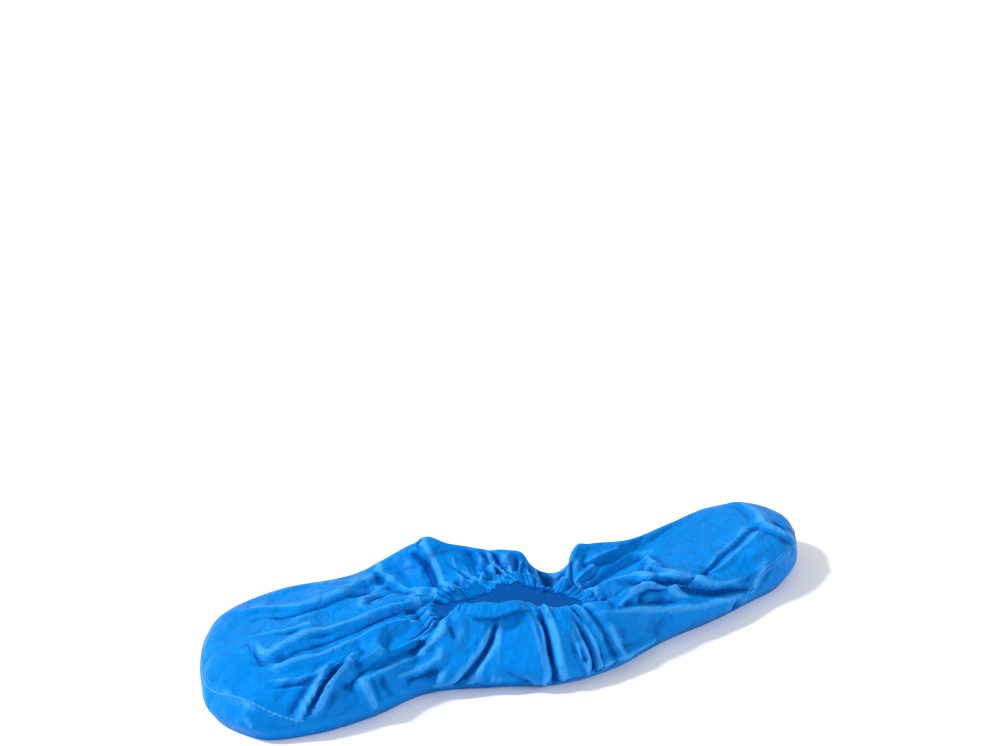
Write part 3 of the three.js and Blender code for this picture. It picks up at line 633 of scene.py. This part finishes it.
# The sole is one flat face inside the wall's lowest row.
sole_edge = vertex_numbers(pouch) // (COLUMNS + 1) == 0
bpy.ops.object.mode_set(mode="EDIT")
bpy.ops.mesh.select_mode(type="EDGE")
bpy.ops.mesh.select_all(action="DESELECT")
bpy.ops.object.mode_set(mode="OBJECT")
for edge in pouch.data.edges:
    edge.select = all(sole_edge[v] for v in edge.vertices)
bpy.ops.object.mode_set(mode="EDIT")
bpy.ops.mesh.edge_face_add()
bpy.ops.mesh.select_all(action="SELECT")
bpy.ops.mesh.normals_make_consistent(inside=False)
bpy.ops.object.mode_set(mode="OBJECT")

CLOTH_BLUE = (0.0, 0.175, 0.56, 1.0)
CLOTH_DARK = (0.0, 0.15, 0.49, 1.0)
INNER_BLUE = (0.0, 0.19, 0.58, 1.0)
INNER_DARK = (0.0, 0.16, 0.5, 1.0)
# Painted light: a glow on the inner face, for the light that soaks through the cloth
PAINTED_INNER_GLOW = (0.012, 0.2, 0.5, 1.0)
PAINTED_GLOW_STRENGTH = 0.4
# Painted light: a paler blue for the highlights along ridges, and a deeper blue for the shade in hollows
PAINTED_RIDGE_HIGHLIGHT = (0.03, 0.25, 0.65, 1.0)
PAINTED_HOLLOW_SHADE = (0.0, 0.06, 0.27, 1.0)
UNCREASED = 0.25  # crease values nearer zero than this leave the cloth's colour alone
DOT_PITCH = 0.0028  # from one pressed dot past a gap to the next, in metres
BETWEEN_DOTS = 0.08  # roughness of the gaps and of the dots, above or below the cloth's own
ON_DOTS = -0.1


def coated_cloth(name, colour, dark, roughness):
    """Blue nonwoven with a plastic coat: a grid of tiny pressed dots, fine creases, soft shine."""
    material = bpy.data.materials.new(name)
    material.use_nodes = True
    nodes = material.node_tree.nodes
    links = material.node_tree.links
    shader = nodes["Principled BSDF"]
    shader.inputs["Specular IOR Level"].default_value = 0.035
    shader.inputs["Subsurface Weight"].default_value = 0.2
    shader.inputs["Subsurface Radius"].default_value = (0.2, 0.6, 1.0)
    shader.inputs["Subsurface Scale"].default_value = 0.0015
    texture = nodes.new("ShaderNodeTexCoord")
    place = texture.outputs["Object"]
    facing = texture.outputs["Normal"]

    def node(kind, **settings):
        """A node, with each setting the value of a socket, the link into it, or a way of working."""
        made = nodes.new(kind)
        for key, value in settings.items():
            socket = key.replace("_", " ")
            if socket not in made.inputs:
                setattr(made, key, value)
            elif isinstance(value, bpy.types.NodeSocket):
                links.new(value, made.inputs[socket])
            else:
                made.inputs[socket].default_value = value
        return made

    def both(operation, first, second, kind="ShaderNodeMath"):
        made = node(kind, operation=operation)
        links.new(first, made.inputs[0])
        links.new(second, made.inputs[1])
        return made.outputs[0]

    def blended(under, over, share):
        return node("ShaderNodeMix", data_type="RGBA", A=under, B=over, Factor=share).outputs["Result"]

    def bumped(height, strength, depth, **under):
        bump = node("ShaderNodeBump", Height=height, Strength=strength, Distance=depth, **under)
        return bump.outputs["Normal"]

    # Cloudy tone, as the fibres lie thicker and thinner under the coat
    mottle = node("ShaderNodeTexNoise", Vector=place, Scale=70.0, Detail=5.0, Roughness=0.65)
    tone = blended(dark, colour, mottle.outputs["Fac"])

    # Painted highlights along the ridges and painted shade in the hollows
    crease = node("ShaderNodeAttribute", attribute_name="crease").outputs["Fac"]
    painted_highlight_share = node("ShaderNodeMapRange", Value=crease, From_Min=UNCREASED)
    creased = blended(tone, PAINTED_RIDGE_HIGHLIGHT, painted_highlight_share.outputs["Result"])
    painted_shade_share = node("ShaderNodeMapRange", Value=crease, From_Min=-UNCREASED, From_Max=-1.0)
    with_painted_light = blended(creased, PAINTED_HOLLOW_SHADE, painted_shade_share.outputs["Result"])
    links.new(with_painted_light, shader.inputs["Base Color"])

    # Pressed dots, laid on the cloth from whichever side it faces
    spread = node("ShaderNodeVectorMath", operation="SCALE", Vector=place, Scale=2 * math.pi / DOT_PITCH)
    waves = node("ShaderNodeVectorMath", operation="SINE", Vector=spread.outputs[0])
    x, y, z = node("ShaderNodeSeparateXYZ", Vector=waves.outputs[0]).outputs
    squared = both("MULTIPLY", facing, facing, "ShaderNodeVectorMath")
    facing_x, facing_y, facing_z = node("ShaderNodeSeparateXYZ", Vector=squared).outputs
    from_x = both("MULTIPLY", both("MULTIPLY", y, z), facing_x)
    from_y = both("MULTIPLY", both("MULTIPLY", x, z), facing_y)
    from_z = both("MULTIPLY", both("MULTIPLY", x, y), facing_z)
    dots = both("ADD", both("ADD", from_x, from_y), from_z)

    # Fine creases in two sizes break the cloth into small flat facets, with fibres and dots on top
    warp = node("ShaderNodeTexNoise", Vector=place, Scale=35.0, Detail=2.0)
    shift = node("ShaderNodeVectorMath", operation="SCALE", Vector=warp.outputs["Color"], Scale=0.02)
    moved = both("ADD", place, shift.outputs[0], "ShaderNodeVectorMath")
    facets = node("ShaderNodeTexVoronoi", feature="DISTANCE_TO_EDGE", Vector=moved, Scale=55.0)
    small_facets = node("ShaderNodeTexVoronoi", feature="DISTANCE_TO_EDGE", Vector=moved, Scale=130.0)
    fine = node("ShaderNodeTexNoise", Vector=place, Scale=420.0, Detail=3.0)
    small_creases = bumped(small_facets.outputs["Distance"], strength=0.5, depth=0.0016)
    creases = bumped(facets.outputs["Distance"], strength=0.6, depth=0.005, Normal=small_creases)
    fibres = bumped(fine.outputs["Fac"], strength=0.35, depth=0.0003, Normal=creases)
    pressed = bumped(dots, strength=0.35, depth=0.00016, Normal=fibres)
    links.new(pressed, shader.inputs["Normal"])

    # The dots are melted smoother than the cloth between them
    shine = node("ShaderNodeMapRange", Value=dots, From_Min=-1.0)
    shine.inputs["To Min"].default_value = roughness + BETWEEN_DOTS
    shine.inputs["To Max"].default_value = roughness + ON_DOTS
    links.new(shine.outputs["Result"], shader.inputs["Roughness"])
    return material


cloth_finish = coated_cloth("blue_coated_nonwoven", CLOTH_BLUE, CLOTH_DARK, roughness=0.42)
lining_finish = coated_cloth("uncoated_inner_face", INNER_BLUE, INNER_DARK, roughness=0.8)
# Painted light: the inner face is given a glow that stands in for the light soaking through the thin
# cloth
inner_shader = lining_finish.node_tree.nodes["Principled BSDF"]
inner_shader.inputs["Emission Color"].default_value = PAINTED_INNER_GLOW
inner_shader.inputs["Emission Strength"].default_value = PAINTED_GLOW_STRENGTH

# The cloth gets its thickness inwards, with the lining on its inner face.
finish_in(pouch, cloth_finish, lining_finish)
solid = pouch.modifiers.new("cloth", "SOLIDIFY")
solid.thickness = CLOTH * MM
solid.offset = -1.0
solid.material_offset = 1
bpy.ops.object.modifier_apply(modifier=solid.name)
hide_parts("pouch")
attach(pouch, "root")

# Hem
# The mouth's edge is turned in over the elastic and sewn down, so the elastic gathers it into
# small tight ruffles. Along the middle of the near side it lies smooth and rolls outwards.
HEM_COLUMNS = 1400
HEM_DEPTH = 7.0  # from the mouth's edge down to the hem's foot
HEM_OUT = 0.55  # half the hem's thickness
HEM_RUFFLE = 0.7  # how far its small ruffles rise and fall
RUFFLE_LEAN = 0.35  # how far they also lean out and in, as a share of their rise
RUFFLE_WAVES = 60
RUFFLE_SEED = 31
ROLL = [(50, 0.0), (57, 1.0), (94, 1.0), (104, 0.0)]  # degrees, share of the full roll
ROLL_OUT = 4.6  # how far the rolled hem's outer layer swells out
ROLL_DEPTH = 5.0  # how much further down that layer hangs
ROLL_AHEAD = 0.12  # how much of the swelling's height lies past the mouth's edge
ROLL_SMOOTHS = 0.8  # how much of the ruffles the roll takes out
EDGE_STRIP = 6.0  # how far down from the mouth's edge the cloth shows which way is up

# The hem's section, from its outer edge over the bight to its inner edge. out: share of its half
# thickness. up: distance above the mouth's edge.
HEM_SECTION = [
    # out, up
    (1.1, -7.0), (1.0, -5.4), (1.0, -3.8), (1.05, -2.2), (1.2, -0.8), (1.5, 0.6), (1.3, 1.6),
    (0.6, 2.2), (-0.6, 2.2), (-1.3, 1.6), (-1.5, 0.6), (-1.2, -0.8), (-1.05, -2.2), (-1.0, -3.8),
    (-1.0, -5.4), (-1.1, -7.0),
]


def mouth_frames(count):
    """Places along the mouth's edge, evenly apart, with the way out of the cloth and up it."""
    edge = cloth_face[-1]
    strip_row = int(round((1 - EDGE_STRIP / stretch.mean()) * (ROWS - 1)))
    strip = cloth_face[strip_row]
    shares = np.append(ring_shares(edge), 1.0)
    at = np.arange(count) / count

    def evenly(ring):
        closed = np.concatenate([ring, ring[:1]])
        return np.column_stack([np.interp(at, shares, closed[:, k]) for k in range(3)])

    origin = evenly(edge)
    up = unit(origin - evenly(strip))
    along = np.roll(origin, -1, axis=0) - np.roll(origin, 1, axis=0)
    degrees = np.interp(at, shares, np.append(mouth_degrees, mouth_degrees[0] + 360))
    return at, origin, unit(np.cross(along, up)), up, degrees


def ruffles(at):
    """How far the hem's small ruffles rise at places along the mouth's edge."""
    return HEM_RUFFLE * wander(at, RUFFLE_SEED, RUFFLE_WAVES)[:, None]


def ring_piece(name, sections):
    """A closed ring of sections, each a closed outline."""
    return grid_piece(name, closed_on_itself(np.concatenate([sections, sections[:1]])))


hem_at, hem_origin, hem_out, hem_up, hem_degrees = mouth_frames(HEM_COLUMNS)
section = np.array(HEM_SECTION)
roll = from_table(ROLL, hem_degrees % 360)[:, None]
ruffle = ruffles(hem_at) * (1 - ROLL_SMOOTHS * roll)
depth_below = np.clip(-section[:, 1], 0.0, None)
outer_side = section[:, 0] > 0
lower = np.clip(depth_below / HEM_DEPTH, 0.0, 1.0)
swelling = np.sin(np.pi * np.clip(lower + ROLL_AHEAD, 0, 1))
out = HEM_OUT * section[:, 0] + RUFFLE_LEAN * ruffle
out = out + roll * outer_side * ROLL_OUT * swelling
up = section[:, 1] + ruffle - roll * outer_side * ROLL_DEPTH * lower
edge_lift = gather_lift(hem_at[:, None], depth_below[None, :], hem_degrees[:, None])
edge_lift = edge_lift - gather_lift(hem_at, 0.0, hem_degrees)[:, None]
hem_sections = (
    hem_origin[:, None, :]
    + (out + edge_lift)[..., None] * hem_out[:, None, :]
    + up[..., None] * hem_up[:, None, :]
)
hem = ring_piece("ruffled_hem", hem_sections)
finish_in(hem, cloth_finish)
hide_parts("hem_casing")
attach(hem, "root")

# Elastic
# A thin round elastic of rubber wound with pale thread. It is cut shorter than the hem, closed
# into a ring and laid inside it, where it follows the ruffles that it draws.
ELASTIC_COLUMNS = 300
ELASTIC_SIDES = 10
ELASTIC_RADIUS = 0.5
ELASTIC_LIFT = 1.0  # how far above the mouth's edge it runs
ELASTIC_PALE = (0.62, 0.7, 0.76, 1.0)
WINDINGS_A_METRE = 500.0
elastic_at, elastic_origin, elastic_out, elastic_up, _ = mouth_frames(ELASTIC_COLUMNS)
spin = 2 * math.pi * np.arange(ELASTIC_SIDES) / ELASTIC_SIDES
aside = RUFFLE_LEAN * ruffles(elastic_at) + ELASTIC_RADIUS * np.cos(spin)
above = ELASTIC_LIFT + ruffles(elastic_at) + ELASTIC_RADIUS * np.sin(spin)
elastic_sections = (
    elastic_origin[:, None, :]
    + aside[..., None] * elastic_out[:, None, :]
    + above[..., None] * elastic_up[:, None, :]
)
elastic = ring_piece("mouth_elastic", elastic_sections)
elastic_finish = bpy.data.materials.new("pale_elastic_thread")
elastic_finish.use_nodes = True
thread_nodes = elastic_finish.node_tree.nodes
thread_links = elastic_finish.node_tree.links
thread_shader = thread_nodes["Principled BSDF"]
thread_shader.inputs["Base Color"].default_value = ELASTIC_PALE
thread_shader.inputs["Roughness"].default_value = 0.8
thread_place = thread_nodes.new("ShaderNodeTexCoord")
windings = thread_nodes.new("ShaderNodeTexWave")
windings.inputs["Scale"].default_value = WINDINGS_A_METRE
windings.inputs["Distortion"].default_value = 1.5
thread_links.new(thread_place.outputs["Object"], windings.inputs["Vector"])
wound = thread_nodes.new("ShaderNodeBump")
wound.inputs["Distance"].default_value = 0.0002
thread_links.new(windings.outputs["Fac"], wound.inputs["Height"])
thread_links.new(wound.outputs["Normal"], thread_shader.inputs["Normal"])
finish_in(elastic, elastic_finish)
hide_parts("elastic_band")
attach(elastic, "root")

# Seams
# The two ends of the folded sheet are closed by a narrow welded seam. It is pressed flat at short
# steps, and the raised dashes left between them catch the light as a broken line round each end;
# the seam's film is also painted a paler blue as a painted highlight along it.
TOE_SEAM = [(-7, 14), (-2.5, 24), (1.5, 26), (4.5, 29), (7, 16)]  # round, up, in percent
HEEL_SEAM = [(42.5, 14), (44.5, 24), (47.5, 27), (51, 24), (55, 14)]
SEAM_PLACES = 800  # along a seam's route, to measure its length by
SEAM_STEP = 0.6
SEAM_DASH = 5  # steps from one gap between two dashes to the next
SEAM_GAP = 0.15  # how much of the section is left in a gap
# A dash's section: across the seam, and out of the cloth
SEAM_SECTION = [(-0.55, 0.05), (-0.35, 0.3), (0.0, 0.4), (0.35, 0.3), (0.55, 0.05), (0.0, -0.1)]
# Painted highlight: the seam's film is a paler blue than the cloth, for the pale line it shows
SEAM_HIGHLIGHT_BLUE = (0.05, 0.28, 0.68, 1.0)
SEAM_HIGHLIGHT_DARK = (0.03, 0.23, 0.62, 1.0)
seam_finish = coated_cloth("welded_seam_film_painted_highlight", SEAM_HIGHLIGHT_BLUE, SEAM_HIGHLIGHT_DARK, roughness=0.5)


def welded_seam(name, node, route):
    """A strip along a route on the cloth, raised in its dashes and almost flat between them."""
    knots = np.array(route, float)[:, 0] / 100
    heights = np.array(route, float)[:, 1:] / 100
    fine = np.linspace(knots[0], knots[-1], SEAM_PLACES)
    line = on_cloth(cloth_face, fine, curve_through(knots, heights, fine)[:, 0])
    reached = np.concatenate([[0.0], np.cumsum(np.linalg.norm(np.diff(line, axis=0), axis=1))])
    steps = int(reached[-1] / SEAM_STEP)
    spots = np.interp(np.linspace(0.0, reached[-1], steps + 1), reached, fine)
    spot_ups = curve_through(knots, heights, spots)[:, 0]
    places = on_cloth(cloth_face, spots, spot_ups)
    out = unit(on_cloth(grid_normals(cloth_face), spots, spot_ups))
    along = unit(np.gradient(places, axis=0))
    across = np.cross(out, along)
    section = np.array(SEAM_SECTION)
    dashes = np.where(np.arange(steps + 1) % SEAM_DASH == 0, SEAM_GAP, 1.0)[:, None, None]
    body = (
        places[:, None, :]
        + dashes * section[None, :, :1] * across[:, None, :]
        + dashes * section[None, :, 1:] * out[:, None, :]
    )
    seam = grid_piece(name, closed_on_itself(body))
    bpy.ops.object.mode_set(mode="EDIT")
    bpy.ops.mesh.select_all(action="SELECT")
    bpy.ops.mesh.fill_holes(sides=0)
    bpy.ops.mesh.normals_make_consistent(inside=False)
    bpy.ops.object.mode_set(mode="OBJECT")
    finish_in(seam, seam_finish)
    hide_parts(node)
    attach(seam, "root")
    return seam


toe_seam = welded_seam("welded_toe_seam", "toe_seam", TOE_SEAM)
heel_seam = welded_seam("welded_heel_seam", "heel_seam", HEEL_SEAM)
